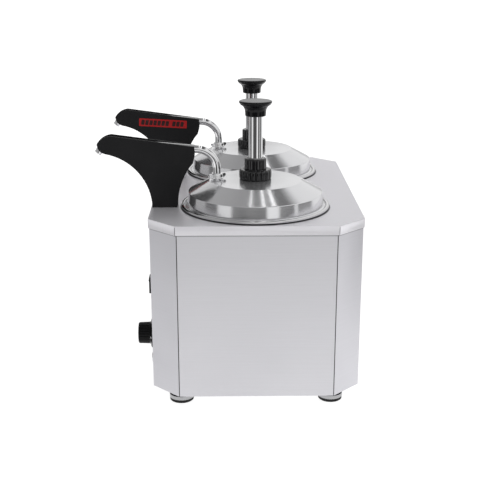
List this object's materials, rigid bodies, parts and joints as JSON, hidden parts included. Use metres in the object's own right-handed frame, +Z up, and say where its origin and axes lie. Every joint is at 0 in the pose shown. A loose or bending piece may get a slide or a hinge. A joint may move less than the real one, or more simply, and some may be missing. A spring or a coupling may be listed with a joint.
{
  "type": "nacho cheese dispenser",
  "caption": "Countertop heated cheese dispenser: steel cabinet with lift-out pots, lids with push pumps, and gooseneck spouts lying in black heated arms.",
  "frame": {"origin": "on the floor under the middle of the whole machine, spout tips included", "axes": "+X along the cabinet to its right end, -Y to the front where the spouts point, +Z up"},
  "size_m": [0.384, 0.3212, 0.3545],
  "materials": {
    "cabinet_steel": "satin, fine horizontal grain",
    "cover_steel": "satin, fine grain",
    "inner_steel": "plain mill finish",
    "pot_steel": "polished",
    "lid_steel": "spun and polished",
    "chrome": "bright polished",
    "screw_steel": "bright zinc plated",
    "arm_black": "matt black, fine texture",
    "knob_black": "semi-gloss black moulding",
    "switch_black": "satin black moulding",
    "foot_rubber": "matt black rubber",
    "lamp_red": "clear red moulded lens",
    "label_red": "satin red vinyl",
    "block_cream": "plain moulded",
    "wire_red": "silicone sleeve",
    "mica": "mica and steel band",
    "bar_aluminium": "extruded",
    "seal_white": "food-grade seal"
  },
  "bodies": {
    "root": {"front_panel": "cabinet_steel", "back_panel": "cabinet_steel", "left_end_panel": "cabinet_steel", "right_end_panel": "cabinet_steel", "top_cover": "cover_steel", "base_plate": "inner_steel", "foot_cups": "chrome", "foot_pads": "foot_rubber", "base_screws": "screw_steel", "arm_screws": "screw_steel", "power_inlet": "switch_black", "inlet_screws": "screw_steel", "terminal_block": "block_cream", "wiring": "wire_red", "left_well": "inner_steel", "left_well_heater": "mica", "left_thermostat": "switch_black", "left_switch_housing": "switch_black", "left_indicator_lamp": "lamp_red", "left_spout_arm": "arm_black", "left_spout_heater": "bar_aluminium", "left_arm_label": "label_red", "right_well": "inner_steel", "right_well_heater": "mica", "right_thermostat": "switch_black", "right_switch_housing": "switch_black", "right_indicator_lamp": "lamp_red", "right_spout_arm": "arm_black", "right_spout_heater": "bar_aluminium", "right_arm_label": "label_red"},
    "left_pot_body": {"left_pot": "pot_steel"},
    "left_lid_body": {"left_lid": "lid_steel", "left_pump_barrel": "chrome", "left_valve_body": "chrome", "left_return_spring": "screw_steel", "left_pump_cap": "knob_black", "left_spout_tube": "chrome"},
    "left_plunger": {"left_plunger_tube": "chrome", "left_piston": "seal_white", "left_push_knob": "knob_black"},
    "left_ball": {"left_intake_ball": "chrome"},
    "left_ring": {"left_lock_ring": "knob_black"},
    "left_nut": {"left_wing_nut": "chrome"},
    "left_dial": {"left_dial_knob": "knob_black"},
    "left_switch": {"left_rocker": "switch_black"},
    "right_pot_body": {"right_pot": "pot_steel"},
    "right_lid_body": {"right_lid": "lid_steel", "right_pump_barrel": "chrome", "right_valve_body": "chrome", "right_return_spring": "screw_steel", "right_pump_cap": "knob_black", "right_spout_tube": "chrome"},
    "right_plunger": {"right_plunger_tube": "chrome", "right_piston": "seal_white", "right_push_knob": "knob_black"},
    "right_ball": {"right_intake_ball": "chrome"},
    "right_ring": {"right_lock_ring": "knob_black"},
    "right_nut": {"right_wing_nut": "chrome"},
    "right_dial": {"right_dial_knob": "knob_black"},
    "right_switch": {"right_rocker": "switch_black"}
  },
  "joints": [
    {"name": "left_pot_lift", "type": "slide", "parent": "root", "child": "left_pot_body", "axis": [0, 0, 1], "range_m": [0, 0.015]},
    {"name": "left_lid_lift", "type": "slide", "parent": "left_pot_body", "child": "left_lid_body", "axis": [0, 0.342, 0.9397], "range_m": [0, 0.24]},
    {"name": "left_plunger_press", "type": "slide", "parent": "left_lid_body", "child": "left_plunger", "axis": [0, 0, -1], "range_m": [0, 0.05], "stiffness_N_per_m": 250, "springref_m": -0.02, "deforming": ["left_return_spring"]},
    {"name": "left_ball_lift", "type": "slide", "parent": "left_lid_body", "child": "left_ball", "axis": [0, 0, 1], "range_m": [0, 0.003]},
    {"name": "left_ring_turn", "type": "hinge", "parent": "left_lid_body", "child": "left_ring", "pos_m": [-0.099, 0.03173, 0.266], "axis": [0, 0, 1], "range_deg": [0, 90]},
    {"name": "left_nut_turn", "type": "hinge", "parent": "left_lid_body", "child": "left_nut", "pos_m": [-0.099, -0.01466, 0.264], "axis": [0, 0, 1], "continuous": true},
    {"name": "left_dial_turn", "type": "hinge", "parent": "root", "child": "left_dial", "pos_m": [-0.099, -0.10332, 0.0605], "axis": [0, 1, 0], "range_deg": [0, 270]},
    {"name": "left_rocker_tip", "type": "hinge", "parent": "root", "child": "left_switch", "pos_m": [-0.099, -0.09262, 0.126], "axis": [-1, 0, 0], "range_deg": [0, 20]},
    {"name": "right_pot_lift", "type": "slide", "parent": "root", "child": "right_pot_body", "axis": [0, 0, 1], "range_m": [0, 0.015]},
    {"name": "right_lid_lift", "type": "slide", "parent": "right_pot_body", "child": "right_lid_body", "axis": [0, 0.342, 0.9397], "range_m": [0, 0.24]},
    {"name": "right_plunger_press", "type": "slide", "parent": "right_lid_body", "child": "right_plunger", "axis": [0, 0, -1], "range_m": [0, 0.05], "stiffness_N_per_m": 250, "springref_m": -0.02, "deforming": ["right_return_spring"]},
    {"name": "right_ball_lift", "type": "slide", "parent": "right_lid_body", "child": "right_ball", "axis": [0, 0, 1], "range_m": [0, 0.003]},
    {"name": "right_ring_turn", "type": "hinge", "parent": "right_lid_body", "child": "right_ring", "pos_m": [0.099, 0.03173, 0.266], "axis": [0, 0, 1], "range_deg": [0, 90]},
    {"name": "right_nut_turn", "type": "hinge", "parent": "right_lid_body", "child": "right_nut", "pos_m": [0.099, -0.01466, 0.264], "axis": [0, 0, 1], "continuous": true},
    {"name": "right_dial_turn", "type": "hinge", "parent": "root", "child": "right_dial", "pos_m": [0.099, -0.10332, 0.0605], "axis": [0, 1, 0], "range_deg": [0, 270]},
    {"name": "right_rocker_tip", "type": "hinge", "parent": "root", "child": "right_switch", "pos_m": [0.099, -0.09262, 0.126], "axis": [-1, 0, 0], "range_deg": [0, 20]}
  ]
}
